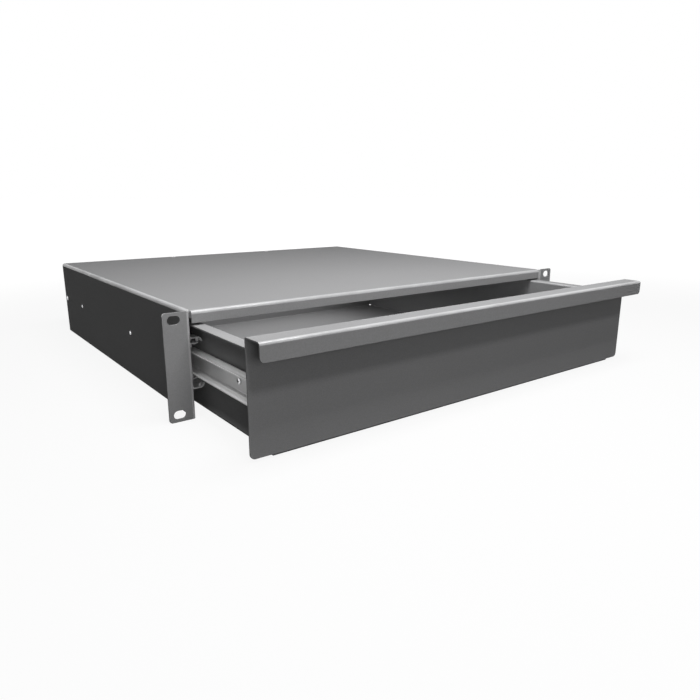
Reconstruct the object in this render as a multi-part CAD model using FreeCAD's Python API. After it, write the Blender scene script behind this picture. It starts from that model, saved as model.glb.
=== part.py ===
"""Two-unit sliding drawer for a 19-inch rack.

Millimetres, +Z up, +Y to the rear of the rack, X across it.  Sizes are laid out from the plane
of the ears' front faces (y = 0), midway between the ears (x = 0), at the case's lower edge
(z = 0).  The finished pieces are then moved so that the origin is the middle of the four slots
on the ears' back faces, where the drawer meets the rack's rails.  The drawer stands part way
out, at rest_opening in front of its closed place.
"""
import FreeCAD, Part
import math
import os

from FreeCAD import Vector

# ---------------------------------------------------------------- rack interface
rack_height = 88.1          # height of a two-unit panel
ear_span = 482.6            # over both ears
slot_inset_across = 8.75    # slot centres from the ears' ends
slot_inset_up = 5.95        # and from their top and bottom edges
slot_length = 10.3
slot_width = 7.0
ear_corner_radius = 2.5
ear_bend_radius = 1.0       # inside radius where the side turns out into the ear

# ---------------------------------------------------------------- case: top, sides and ears
case_depth = 412.0
ear_reach = 20.3            # from the case's side to the ear's end
case_sheet = 1.5
case_bend_radius = 1.5      # inside radius along the two long top edges and the front lip
lip_drop = 10.0             # height of the lip folded down from the top's front edge
lip_end_gap = 1.6           # from the lip's end to the inner face of the side
ear_relief = 0.6            # the ear's bend ends this far below the ear's top

# ---------------------------------------------------------------- rear panel
rear_flange = 15.0
rear_corner_relief = 5.0
rear_fit = 0.1              # clearance of the rear panel inside the case
rear_rivet_inset = 8.0      # from the case's rear edge
rear_rivet_offset = 75.0    # of the two rivets in the top, from the middle

# ---------------------------------------------------------------- drawer tray
drawer_sheet = 1.2
drawer_rear_space = 3.0     # from the tray to the rear panel, drawer shut
drawer_bend_radius = 1.2    # inside radius along the floor and the back wall
flange_bend_radius = 0.5    # inside radius along the side flanges
drawer_top_space = 2.1      # from the tray's flanges to the case's front lip
flange_width = 10.4         # outward flange along each side wall
back_corner_gap = 1.0       # open slit between back wall and side wall
back_relief_radius = 1.5
back_corner_radius = 3.0
front_tab_width = 14.0      # side wall's tab turned in behind the front panel
front_tab_inset = 6.0       # its distance from the floor and from the flange
tab_relief = 1.0

# ---------------------------------------------------------------- front panel and pull
panel_overhang = 4.0        # past the case's side, at each end
panel_sheet = 1.2
panel_bend_radius = 1.0
panel_top_inset = 0.7       # below the case's top
panel_end_lift = 1.9        # free ends of the lower edge sit this much above the folded part
panel_corner_radius = 4.0
floor_clearance = 0.4       # under the folded lower edge
return_depth = 14.0         # lower flange, under the tray's floor
pull_depth = 18.6           # from the panel's face to the pull's face
pull_drop = 13.5
pull_corner_radius = 3.5
closed_gap = 0.5            # panel's back to the ears when the drawer is shut
panel_fit = 0.2             # tray's front edges to the panel's lower bend

# ---------------------------------------------------------------- telescopic slides
slide_front = 7.0           # front end behind the ears' plane, drawer shut
slide_rear_space = 55.0     # from its rear end to the case's rear edge
slide_centre = 43.8         # height of the slide's centre line
slide_width = 12.7
slide_sheet = 1.0
slide_bend_radius = 1.0
outer_depth = 12.0
hook_lip = 0.15             # straight edge past the bend that hooks round the ball row
middle_setback = 7.0        # middle member's front end behind the outer member's
middle_web_gap = 0.3        # between the outer and the middle member's webs
middle_flange_end = 11.3
middle_joggle = 1.2         # raised middle band, which clears the screw heads
middle_band = 13.0          # its height
access_hole_radius = 4.0    # in the middle member, over each screw of the outer one
inner_height = 18.6         # the other members' heights follow from it and from the balls
inner_tip_gap = 0.3         # between the middle member's web and the inner member's edges
rest_opening = 101.0        # how far out the drawer stands at rest

# ---------------------------------------------------------------- balls, cages and stops
ball_radius = 2.5
race_clearance = 0.3
race_depth = 0.55
race_slope = 30.0           # degrees, where a race runs out into the flat
cage_sheet = 0.5
cage_margin = 0.3           # cage strip to the member beside it
pocket_clearance = 0.1
cage_spine = 1.1            # solid edge of a strip behind its pockets
ball_sides = 8              # the balls are drawn with flat facets inside their true size
balls_per_row = 4
ball_pitch = 40.0
nub_inset = 1.0
nub_length = 2.0
nub_width = 2.0
nub_pass = 0.05             # a stamped stop reaches this far past the middle of a cage's sheet
stop_clearance = 0.3
buffer_length = 6.0
buffer_height = 18.0
buffer_width = 6.5

# ---------------------------------------------------------------- fasteners
screw_radius = 2.0
screw_hole_radius = 2.1
wafer_head_radius = 3.6
wafer_head_height = 0.9
pan_head_radius = 2.7
pan_head_height = 1.8
screw_tip = 0.4             # end standing out of the threaded hole
outer_screw_front = 142.0   # from the slide's front end
outer_screw_rear = 27.0     # from its rear end
inner_screw_front = 36.5
inner_screw_rear = 41.0
shank_sides = 12            # hidden shanks and their holes are drawn with flat sides
rivet_head_radius = 3.0
rivet_head_height = 1.0
rivet_radius = 1.6
rivet_hole_radius = 1.7
rivet_tail_height = 2.0

# ---------------------------------------------------------------- places worked out from the sizes
through = 1.0               # how far a cutter runs past the sheet
touch = 0.01                # two edges this close are taken as one
half_case = ear_span / 2 - ear_reach
half_inside = half_case - case_sheet
half_drawer = half_inside - slide_width
half_panel = half_case + panel_overhang
slot_x = ear_span / 2 - slot_inset_across
drawer_depth = closed_gap + case_depth - case_sheet - drawer_rear_space
drawer_top = rack_height - lip_drop - drawer_top_space
panel_top = rack_height - panel_top_inset
slide_length = case_depth - slide_front - slide_rear_space
stage_travel = slide_length / 2     # of the middle member, and of the drawer in it
panel_back = -closed_gap - rest_opening
panel_face = panel_back - panel_sheet
pull_face = panel_face - pull_depth
tray_back = panel_back + drawer_depth
tray_floor = floor_clearance + panel_sheet      # underside of the tray
tray_inside = half_drawer - drawer_sheet
slide_rear = slide_front + slide_length
middle_front = slide_front + middle_setback
middle_rear = slide_rear - buffer_length - stop_clearance
inner_rear = middle_rear - buffer_length - stop_clearance
race_radius = ball_radius + race_clearance
nub_height = race_radius + nub_pass
ball_step = slide_sheet + 2 * race_radius - race_depth      # half height gained per member
middle_height = inner_height + 2 * ball_step
outer_height = middle_height + 2 * ball_step
middle_web = slide_sheet + middle_web_gap
inner_tip = middle_web + slide_sheet + inner_tip_gap
outer_ball_u = outer_depth - slide_sheet - race_radius
outer_ball_h = outer_height / 2 - slide_sheet - race_radius
inner_ball_u = middle_web + slide_sheet + race_radius
inner_ball_h = middle_height / 2 - slide_sheet - race_radius
nub_reach = nub_inset + nub_length + stop_clearance     # a cage's end from its stop's member's end
outer_cage_front = slide_front + nub_reach + stage_travel / 2
outer_cage_length = middle_rear - stage_travel - slide_front - 2 * nub_reach
inner_cage_front = middle_front + nub_reach + stage_travel / 2
inner_cage_length = inner_rear - stage_travel - middle_front - 2 * nub_reach
case_rivet_y = case_depth - rear_rivet_inset
outer_screw_places = [slide_front + outer_screw_front, slide_rear - outer_screw_rear]
inner_screw_places = [slide_front + inner_screw_front - rest_opening,
                      slide_rear - inner_screw_rear - rest_opening]


# ================================================================ sheet-metal helpers
def unit(start, end):
    """Unit direction from one 2-D point to the next."""
    length = math.hypot(end[0] - start[0], end[1] - start[1])
    return ((end[0] - start[0]) / length, (end[1] - start[1]) / length)


def turn_at(points, i):
    """Signed turn of the path at point i, positive to the left."""
    before = unit(points[i - 1], points[i])
    after = unit(points[i], points[i + 1])
    cross = before[0] * after[1] - before[1] * after[0]
    return math.atan2(cross, before[0] * after[0] + before[1] * after[1])


def offset_path(points, distance):
    """The same path moved to its left by a distance, with mitred corners."""
    moved = []
    last = len(points) - 1
    for i, (a, b) in enumerate(points):
        before = unit(points[max(i - 1, 0)], points[max(i, 1)])
        after = unit(points[min(i, last - 1)], points[min(i + 1, last)])
        share = 1 + before[0] * after[0] + before[1] * after[1]
        moved.append((a - distance * (before[1] + after[1]) / share,
                      b + distance * (before[0] + after[0]) / share))
    return moved


def rounded_edges(points, radii, place):
    """Lines and tangent arcs along a path; radii holds one radius for each inner point, 0 sharp."""
    edges = []
    start = points[0]
    for i in range(1, len(points) - 1):
        radius = radii[i - 1]
        if radius == 0:
            edges.append(Part.makeLine(place(*start), place(*points[i])))
            start = points[i]
            continue
        turn = turn_at(points, i)
        reach = radius * math.tan(abs(turn) / 2)
        before = unit(points[i - 1], points[i])
        after = unit(points[i], points[i + 1])
        first = (points[i][0] - before[0] * reach, points[i][1] - before[1] * reach)
        second = (points[i][0] + after[0] * reach, points[i][1] + after[1] * reach)
        inward = unit((0, 0), (after[0] - before[0], after[1] - before[1]))
        depth = radius / math.cos(turn / 2) - radius
        middle = (points[i][0] + inward[0] * depth, points[i][1] + inward[1] * depth)
        edges.append(Part.makeLine(place(*start), place(*first)))
        edges.append(Part.Arc(place(*first), place(*middle), place(*second)).toShape())
        start = second
    edges.append(Part.makeLine(place(*start), place(*points[-1])))
    return edges


PLACES = {
    "xz": (lambda a, b, c: Vector(a, c, b), Vector(0, 1, 0)),
    "xy": (lambda a, b, c: Vector(a, b, c), Vector(0, 0, 1)),
    "yz": (lambda a, b, c: Vector(c, a, b), Vector(1, 0, 0)),
}


def folded(view, points, sheet, side, radius, start, end):
    """A folded strip: a path in one view, given sheet thickness, drawn out from start to end.

    side is +1 where the metal lies to the left of the path and -1 to its right.  radius is the
    inside bend radius, or a list of them, one for each bend, where 0 leaves a crease sharp.
    """
    bends = len(points) - 2
    inside = list(radius) if isinstance(radius, (list, tuple)) else [radius] * bends
    near, far = [], []
    for i in range(bends):
        folds_inward = turn_at(points, i + 1) * side > 0
        outside = inside[i] + sheet if inside[i] else 0
        near.append(outside if folds_inward else inside[i])
        far.append(inside[i] if folds_inward else outside)
    to_space, direction = PLACES[view]

    def place(a, b):
        return to_space(a, b, start)

    other = offset_path(points, side * sheet)
    edges = rounded_edges(points, near, place)
    edges.append(Part.makeLine(place(*points[-1]), place(*other[-1])))
    edges += rounded_edges(other[::-1], far[::-1], place)
    edges.append(Part.makeLine(place(*other[0]), place(*points[0])))
    return Part.Face(Part.Wire(edges)).extrude(direction * (end - start))


def box(x0, x1, y0, y1, z0, z1):
    """A block between two corners."""
    return Part.makeBox(x1 - x0, y1 - y0, z1 - z0, Vector(x0, y0, z0))


def rod(radius, start, end):
    """A round bar between two points."""
    axis = Vector(*end) - Vector(*start)
    return Part.makeCylinder(radius, axis.Length, Vector(*start), axis)


def flat_sided(radius, x0, x1, y, z):
    """A bar along X whose corners lie on a circle."""
    corners = []
    for i in range(shank_sides + 1):
        angle = 2 * math.pi * i / shank_sides
        corners.append(Vector(x0, y + radius * math.cos(angle), z + radius * math.sin(angle)))
    return Part.Face(Part.makePolygon(corners)).extrude(Vector(x1 - x0, 0, 0))


def joined(shapes):
    """One solid out of overlapping or touching ones, with no seams left in flat faces."""
    return shapes[0].multiFuse(shapes[1:]).removeSplitter()


def mirrored(shape):
    """The same piece on the other side of the rack's middle plane."""
    return shape.mirror(Vector(0, 0, 0), Vector(1, 0, 0))


def both(shape):
    """A piece and its mirror image."""
    return [shape, mirrored(shape)]


def edges_along_y(shape, x_values, z_values):
    """Edges along Y at the given x and z places."""
    found = []
    for edge in shape.Edges:
        ends = edge.BoundBox
        along_y = ends.YLength > ends.XLength + ends.ZLength + touch
        near_x = any(abs(ends.Center.x - x) < touch for x in x_values)
        near_z = any(abs(ends.Center.z - z) < touch for z in z_values)
        if along_y and near_x and near_z:
            found.append(edge)
    return found


# ================================================================ case
def ear_slots():
    """Cutters for the four slots in the ears."""
    cutters = []
    radius = slot_width / 2
    run = slot_length / 2 - radius
    front, back = -through, case_sheet + through
    for x in (-slot_x, slot_x):
        for z in (slot_inset_up, rack_height - slot_inset_up):
            cutters.append(box(x - run, x + run, front, back, z - radius, z + radius))
            for end in (x - run, x + run):
                cutters.append(rod(radius, (end, front, z), (end, back, z)))
    return cutters


def ear():
    """Left ear with its bend out of the side wall."""
    bend_end = case_sheet + ear_bend_radius
    flat_start = half_case + ear_bend_radius
    overlap = case_sheet / 2
    outline = [(-half_inside, bend_end + overlap), (-half_inside, 0), (-flat_start - overlap, 0)]
    bend = folded("xy", outline, case_sheet, -1, ear_bend_radius, 0, rack_height - ear_relief)
    plate = box(-ear_span / 2, -flat_start, 0, case_sheet, 0, rack_height)
    corners = edges_along_y(plate, [-ear_span / 2], [0, rack_height])
    plate = plate.makeFillet(ear_corner_radius, corners)
    return joined([plate, bend])


def case_shell():
    """Top, sides, front lip and ears, folded from one sheet."""
    bend_end = case_sheet + ear_bend_radius
    arch = [(-half_case, 0), (-half_case, rack_height), (half_case, rack_height), (half_case, 0)]
    body = folded("xz", arch, case_sheet, -1, case_bend_radius, bend_end, case_depth)
    nose = [(case_sheet + 2 * case_bend_radius, rack_height), (0, rack_height),
            (0, rack_height - lip_drop)]
    lip_half = half_inside - lip_end_gap
    lip = folded("yz", nose, case_sheet, 1, case_bend_radius, -lip_half, lip_half)
    shell = joined([body, lip] + both(ear()))
    cutters = ear_slots()
    for y in outer_screw_places:
        cutters += both(flat_sided(screw_hole_radius, -half_case - through,
                                   -half_inside + through, y, slide_centre))
    cutters += both(rod(rivet_hole_radius, (-half_case - through, case_rivet_y, slide_centre),
                        (-half_inside + through, case_rivet_y, slide_centre)))
    under_top = rack_height - case_sheet - through
    cutters += both(rod(rivet_hole_radius, (-rear_rivet_offset, case_rivet_y, under_top),
                        (-rear_rivet_offset, case_rivet_y, rack_height + through)))
    return shell.cut(cutters)


def rear_panel():
    """Back of the case, with flanges turned forward under the top and inside the sides."""
    half = half_inside - rear_fit
    top = rack_height - case_sheet - rear_fit
    front = case_depth - rear_flange
    upper = [(front, top), (case_depth, top), (case_depth, 0)]
    plate = folded("yz", upper, case_sheet, -1, case_bend_radius,
                   -half + rear_corner_relief, half - rear_corner_relief)
    sides = [(-half, front), (-half, case_depth), (half, case_depth), (half, front)]
    wings = folded("xy", sides, case_sheet, -1, case_bend_radius,
                   rear_corner_relief, top - rear_corner_relief)
    panel = joined([plate, wings])
    cutters = both(rod(rivet_hole_radius, (-half - through, case_rivet_y, slide_centre),
                       (-half + case_sheet + through, case_rivet_y, slide_centre)))
    under_flange = top - case_sheet - through
    cutters += both(rod(rivet_hole_radius, (-rear_rivet_offset, case_rivet_y, under_flange),
                        (-rear_rivet_offset, case_rivet_y, top + through)))
    return panel.cut(cutters)


def rivet(seat, inward):
    """Blind rivet: a low head on its seat and a shank drawn through two sheets."""
    seat = Vector(*seat)
    inward = Vector(*inward)
    reach = 2 * case_sheet + rear_fit + rivet_tail_height
    head = Part.makeCylinder(rivet_head_radius, rivet_head_height, seat, inward * -1)
    shank = Part.makeCylinder(rivet_radius, reach, seat, inward)
    return joined([head, shank])


def rear_rivets():
    """Two rivets through the top and one through each side hold the rear panel."""
    top = both(rivet((-rear_rivet_offset, case_rivet_y, rack_height), (0, 0, -1)))
    sides = both(rivet((-half_case, case_rivet_y, slide_centre), (1, 0, 0)))
    return Part.makeCompound(top + sides)


# ================================================================ slides
# A slide's section is drawn with u from the case wall towards the drawer and h up from the
# slide's centre line; on the left side of the rack u runs along +X.
def slide_section(points):
    """The path of the upper half, followed by its mirror image below the centre line."""
    upper = [(-half_inside + u, slide_centre + h) for u, h in points]
    lower = [(-half_inside + u, slide_centre - h) for u, h in reversed(points)]
    return upper + lower


def race_path(u, h):
    """A ball race in a flange whose face is at h: the edges and the foot of the groove."""
    slope = math.radians(race_slope)
    foot = h - race_depth + race_radius - race_radius / math.cos(slope)
    spread = (h - foot) / math.tan(slope)
    return [(u - spread, h), (u, foot), (u + spread, h)]


def half_radii(radii):
    """Bend radii of the upper half, repeated in reverse for the lower half."""
    return radii + radii[::-1]


def outer_member():
    """Left case-side member: a channel whose edges hook round the outer ball rows."""
    top = outer_height / 2
    hook_end = top - slide_sheet - race_radius - hook_lip
    points = slide_section([(outer_depth, hook_end), (outer_depth, top), (0, top)])
    radii = half_radii([race_radius, slide_bend_radius])
    channel = folded("xz", points, slide_sheet, 1, radii, slide_front, slide_rear)
    return finished_member(channel, outer_nubs(), outer_screw_places, 0)


def middle_member():
    """Left middle member: it carries both pairs of ball rows and steps round the screw heads."""
    top = middle_height / 2
    outward = race_path(outer_ball_u, top)[::-1]
    band = middle_band / 2
    points = [(middle_flange_end, top)] + outward
    points += [(middle_web, top), (middle_web, band + middle_joggle),
               (middle_web + middle_joggle, band)]
    radii = [0, race_radius, 0, race_radius, 0, 0]
    channel = folded("xz", slide_section(points), slide_sheet, 1, half_radii(radii),
                     middle_front, middle_rear)
    member = finished_member(channel, middle_nubs(), [], 0)
    left = -half_inside + middle_web
    right = left + middle_joggle + slide_sheet
    return member.cut([rod(access_hole_radius, (left - through, y, slide_centre),
                           (right + through, y, slide_centre)) for y in outer_screw_places])


def inner_member():
    """Left drawer-side member, screwed to the tray's wall."""
    top = inner_height / 2
    points = [(inner_tip, top)] + race_path(inner_ball_u, top) + [(slide_width, top)]
    radii = [0, race_radius, 0, slide_bend_radius]
    channel = folded("xz", slide_section(points), slide_sheet, -1, half_radii(radii),
                     slide_front - rest_opening, inner_rear - rest_opening)
    return finished_member(channel, inner_nubs(), inner_screw_places, slide_width - slide_sheet)


def finished_member(channel, nubs, screw_places, web_u):
    """Cage stops added, and screw holes cut through the web that starts at web_u."""
    member = joined([channel] + nubs)
    left = -half_inside + web_u
    holes = [flat_sided(screw_hole_radius, left - through, left + slide_sheet + through,
                        y, slide_centre) for y in screw_places]
    return member.cut(holes) if holes else member


def nub(u, h_root, h_tip, front):
    """A stop above the centre line and its partner below it."""
    left = -half_inside + u - nub_width / 2
    low, high = sorted((h_root, h_tip))
    upper = box(left, left + nub_width, front, front + nub_length,
                slide_centre + low, slide_centre + high)
    return [upper, upper.mirror(Vector(0, 0, slide_centre), Vector(0, 0, 1))]


def outer_nubs():
    """Front stops of the outer cage, stamped inward from the flanges."""
    root = outer_height / 2 - slide_sheet / 2
    return nub(outer_ball_u, root, root - slide_sheet / 2 - nub_height, slide_front + nub_inset)


def middle_nubs():
    """Rear stops of the outer cage and front stops of the inner one."""
    top = middle_height / 2
    rear = middle_rear - nub_inset - nub_length
    outward = nub(outer_ball_u, top - slide_sheet, top - race_depth + nub_height, rear)
    inward = nub(inner_ball_u, top - slide_sheet / 2, top - slide_sheet - nub_height,
                 middle_front + nub_inset)
    return outward + inward


def inner_nubs():
    """Rear stops of the inner cage."""
    top = inner_height / 2
    rear = inner_rear - rest_opening - nub_inset - nub_length
    return nub(inner_ball_u, top - slide_sheet, top - race_depth + nub_height, rear)


def ball_places(length, front):
    """Ball centres along one cage."""
    first = front + (length - (balls_per_row - 1) * ball_pitch) / 2
    return [first + i * ball_pitch for i in range(balls_per_row)]


def cage(ball_u, ball_h, u_from, u_to, length, front):
    """Upper and lower strips of a left-hand cage, with a window for each ball."""
    strips = []
    for sign in (1, -1):
        z = slide_centre + sign * ball_h
        strip = box(-half_inside + u_from, -half_inside + u_to, front, front + length,
                    z - cage_sheet / 2, z + cage_sheet / 2)
        half = ball_radius + pocket_clearance
        pockets = [box(-half_inside + ball_u - half, -half_inside + ball_u + half,
                       y - half, y + half, z - cage_sheet, z + cage_sheet)
                   for y in ball_places(length, front)]
        strips.append(strip.cut(pockets))
    return Part.makeCompound(strips)


def outer_cage():
    """Left cage between the case-side and middle members."""
    reach = ball_radius + pocket_clearance
    return cage(outer_ball_u, outer_ball_h, outer_ball_u - reach - cage_spine,
                outer_depth - slide_sheet - cage_margin, outer_cage_length, outer_cage_front)


def inner_cage():
    """Left cage between the middle and drawer-side members."""
    reach = ball_radius + pocket_clearance
    return cage(inner_ball_u, inner_ball_h, middle_web + slide_sheet + cage_margin,
                inner_ball_u + reach + cage_spine, inner_cage_length,
                inner_cage_front - rest_opening / 2)


def ball(x, y, z):
    """A ball with flat facets between its poles and three rings of corners."""
    middle = Vector(x, y, z)
    poles = (middle + Vector(0, 0, ball_radius), middle - Vector(0, 0, ball_radius))
    rings = []
    for latitude in (45, 0, -45):
        radius = ball_radius * math.cos(math.radians(latitude))
        rise = ball_radius * math.sin(math.radians(latitude))
        angles = [2 * math.pi * i / ball_sides for i in range(ball_sides)]
        rings.append([middle + Vector(radius * math.cos(angle), radius * math.sin(angle), rise)
                      for angle in angles])
    faces = []
    for i in range(ball_sides):
        j = (i + 1) % ball_sides
        faces.append(flat_face([poles[0], rings[0][i], rings[0][j]]))
        for upper, lower in zip(rings, rings[1:]):
            faces.append(flat_face([upper[i], lower[i], lower[j], upper[j]]))
        faces.append(flat_face([poles[1], rings[2][j], rings[2][i]]))
    return Part.Solid(Part.Shell(faces))


def flat_face(corners):
    """A flat face through corners given in order."""
    return Part.Face(Part.makePolygon(corners + corners[:1]))


def ball_rows(ball_u, ball_h, length, front):
    """All balls of one stage, upper and lower rows on both sides of the rack."""
    balls = []
    for y in ball_places(length, front):
        for z in (slide_centre - ball_h, slide_centre + ball_h):
            for x in (-half_inside + ball_u, half_inside - ball_u):
                balls.append(ball(x, y, z))
    return Part.makeCompound(balls)


def buffer_block(u_from, rear):
    """Soft block at a member's rear end, which the next member runs up to."""
    left = -half_inside + u_from
    half = buffer_height / 2
    return box(left, left + buffer_width, rear - buffer_length, rear,
               slide_centre - half, slide_centre + half)


def outer_buffers():
    """Blocks clipped to the case-side members."""
    return Part.makeCompound(both(buffer_block(slide_sheet, slide_rear)))


def middle_buffers():
    """Blocks clipped to the middle members."""
    return Part.makeCompound(both(buffer_block(middle_web + middle_joggle + slide_sheet,
                                               middle_rear)))


# ================================================================ screws
def machine_screw(y, head_face, head_radius, head_height, tip, inward):
    """A screw along X; head_face is where the head's underside seats, inward its direction."""
    top = head_face - inward * head_height
    head = rod(head_radius, (top, y, slide_centre), (head_face, y, slide_centre))
    return joined([head, flat_sided(screw_radius, head_face, tip, y, slide_centre)])


def outer_screws():
    """Low-headed screws from inside the case-side members into the case's sides."""
    screws = []
    for y in outer_screw_places:
        screws += both(machine_screw(y, -half_inside + slide_sheet, wafer_head_radius,
                                     wafer_head_height, -half_case - screw_tip, -1))
    return Part.makeCompound(screws)


def inner_screws():
    """Pan-headed screws through the drawer-side members into the tray's walls."""
    screws = []
    for y in inner_screw_places:
        screws += both(machine_screw(y, -half_drawer - slide_sheet, pan_head_radius,
                                     pan_head_height, -tray_inside + screw_tip, 1))
    return Part.makeCompound(screws)


# ================================================================ drawer
def front_tab():
    """Left side wall's tab, turned in and spot-welded behind the front panel."""
    bend_end = panel_back + drawer_sheet + drawer_bend_radius
    outline = [(-half_drawer, bend_end + drawer_sheet), (-half_drawer, panel_back),
               (-half_drawer + front_tab_width, panel_back)]
    low = tray_floor + drawer_sheet + front_tab_inset
    return folded("xy", outline, drawer_sheet, 1, drawer_bend_radius, low,
                  drawer_top - front_tab_inset)


def drawer_tray():
    """Floor, side walls with their outward flanges and the back wall, folded from one sheet."""
    under_flange = drawer_top - drawer_sheet
    left = [(-half_drawer - flange_width, under_flange), (-half_drawer, under_flange),
            (-half_drawer, tray_floor)]
    outline = left + [(-x, z) for x, z in reversed(left)]
    radii = [flange_bend_radius, drawer_bend_radius]
    channel = folded("xz", outline, drawer_sheet, 1, radii + radii[::-1], panel_back, tray_back)

    bend = drawer_sheet + drawer_bend_radius
    low = tray_floor + drawer_sheet + front_tab_inset - tab_relief
    high = drawer_top - front_tab_inset + tab_relief
    outside = half_drawer + through
    below = tray_floor - through
    foot = panel_bend_radius + panel_fit
    cutters = both(box(-outside, -tray_inside + through, panel_back - through, panel_back + bend,
                       low, high))
    cutters.append(box(-outside, outside, tray_back - bend, tray_back + through,
                       below, tray_floor + bend))
    cutters += both(rod(back_relief_radius, (-tray_inside, tray_back - bend, below),
                        (-tray_inside, tray_back - bend, tray_floor + bend)))
    cutters.append(box(-outside, outside, panel_back - through, panel_back + foot,
                       below, tray_floor + foot))
    channel = channel.cut(cutters)

    upright = [(tray_back - 2 * bend, tray_floor), (tray_back, tray_floor),
               (tray_back, drawer_top)]
    half_back = tray_inside - back_corner_gap
    back = folded("yz", upright, drawer_sheet, 1, drawer_bend_radius, -half_back, half_back)
    top_corners = edges_along_y(back, [-half_back, half_back], [drawer_top])
    back = back.makeFillet(back_corner_radius, top_corners)
    tray = joined([channel, back] + both(front_tab()))
    holes = []
    for y in inner_screw_places:
        holes += both(flat_sided(screw_hole_radius, -outside, -tray_inside + through,
                                 y, slide_centre))
    return tray.cut(holes)


def front_panel():
    """Drawer front: the face, the pull folded over its top and the flange under the floor."""
    under_pull = panel_top - panel_sheet
    pull_back = pull_face + panel_sheet
    lower_edge = floor_clearance + panel_end_lift
    half = half_panel
    face = [(panel_face, lower_edge), (panel_face, under_pull), (pull_back, under_pull),
            (pull_back, panel_top - pull_drop)]
    board = folded("yz", face, panel_sheet, -1, panel_bend_radius, -half, half)
    lower = edges_along_y(board, [-half, half], [lower_edge])
    board = board.makeFillet(panel_corner_radius, lower)
    pull = edges_along_y(board, [-half, half], [panel_top - pull_drop])
    board = board.makeFillet(pull_corner_radius, pull)
    foot = [(panel_face + return_depth, floor_clearance), (panel_face, floor_clearance),
            (panel_face, lower_edge + panel_sheet + panel_bend_radius)]
    flange = folded("yz", foot, panel_sheet, -1, panel_bend_radius, -half_drawer, half_drawer)
    return joined([board, flange])


# ================================================================ build
def build():
    """Every piece by the name of its node."""
    return {
        "case_shell": case_shell(),
        "rear_panel": rear_panel(),
        "rear_panel_rivets": rear_rivets(),
        "slide_outer_left": outer_member(),
        "slide_outer_right": mirrored(outer_member()),
        "slide_outer_screws": outer_screws(),
        "slide_outer_buffers": outer_buffers(),
        "slide_middle_left": middle_member(),
        "slide_middle_right": mirrored(middle_member()),
        "slide_middle_buffers": middle_buffers(),
        "slide_inner_left": inner_member(),
        "slide_inner_right": mirrored(inner_member()),
        "slide_inner_screws": inner_screws(),
        "ball_cage_outer_left": outer_cage(),
        "ball_cage_outer_right": mirrored(outer_cage()),
        "ball_cage_inner_left": inner_cage(),
        "ball_cage_inner_right": mirrored(inner_cage()),
        "balls_outer": ball_rows(outer_ball_u, outer_ball_h, outer_cage_length,
                                 outer_cage_front),
        "balls_inner": ball_rows(inner_ball_u, inner_ball_h, inner_cage_length,
                                 inner_cage_front - rest_opening / 2),
        "drawer_tray": drawer_tray(),
        "front_panel": front_panel(),
    }


to_slot_middle = Vector(0, -case_sheet, -rack_height / 2)
os.makedirs("parts", exist_ok=True)
for name, shape in build().items():
    if not shape.isValid():
        raise ValueError(f"{name} is not a valid shape")
    shape.translate(to_slot_middle)
    shape.exportStep(f"parts/{name}.step")
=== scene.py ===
"""Looks for the sliding rack drawer: paint, zinc plate, fasteners, balls and the studio round it.

Every length is in metres in the part's own frame: +Z up, +Y to the rear of the rack, the drawer
opening along -Y, and the origin in the middle of the four slots on the ears' back faces.
"""
import math
import bmesh
import bpy
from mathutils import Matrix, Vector


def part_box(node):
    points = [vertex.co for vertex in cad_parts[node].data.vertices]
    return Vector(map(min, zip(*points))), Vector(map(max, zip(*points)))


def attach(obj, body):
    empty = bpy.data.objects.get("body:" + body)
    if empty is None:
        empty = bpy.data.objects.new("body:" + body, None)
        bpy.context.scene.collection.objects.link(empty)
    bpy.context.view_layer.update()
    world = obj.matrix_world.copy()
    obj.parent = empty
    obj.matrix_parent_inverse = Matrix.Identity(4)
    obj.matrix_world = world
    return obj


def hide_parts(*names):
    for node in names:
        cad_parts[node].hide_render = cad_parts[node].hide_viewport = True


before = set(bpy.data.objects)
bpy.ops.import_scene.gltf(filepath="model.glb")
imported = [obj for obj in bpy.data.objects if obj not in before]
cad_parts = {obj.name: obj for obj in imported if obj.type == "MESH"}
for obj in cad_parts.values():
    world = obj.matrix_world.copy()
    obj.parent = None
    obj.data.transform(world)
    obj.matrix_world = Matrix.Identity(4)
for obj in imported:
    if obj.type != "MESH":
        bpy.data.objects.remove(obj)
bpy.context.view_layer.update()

bl_info = {
    "name": "Sliding Rack Drawer",
    "version": (1, 0, 0),
    "blender": (4, 5, 0),
    "location": "View3D > Sidebar > Rack Drawer",
    "description": "Dresses a two-unit sliding rack drawer and sets up its studio",
    "category": "Object",
}

MM = 0.001
WELD = 0.002 * MM                # points nearer than this are one point
FLAT = math.radians(0.3)         # faces that meet at less are one face
SHEET_CREASE = math.radians(50)  # edges of the sheets that stay sharp, or are softened
MOULD_CREASE = math.radians(40)  # the same for the buffers
PATTERN_CREASE = 0.6             # the same for screws, rivets and cages, in radians
BEND_FACET = 0.95 * MM           # narrower faces make up a bend or a softened edge
UNDERSIDE = -0.05                # faces whose normals point lower get painted shade, the others a painted highlight

COAT_POLISH = 0.4                # how far a full coat lowers the roughness
CAGE_SHADE = 0.88                # the cages' tone beside the slides'

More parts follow.
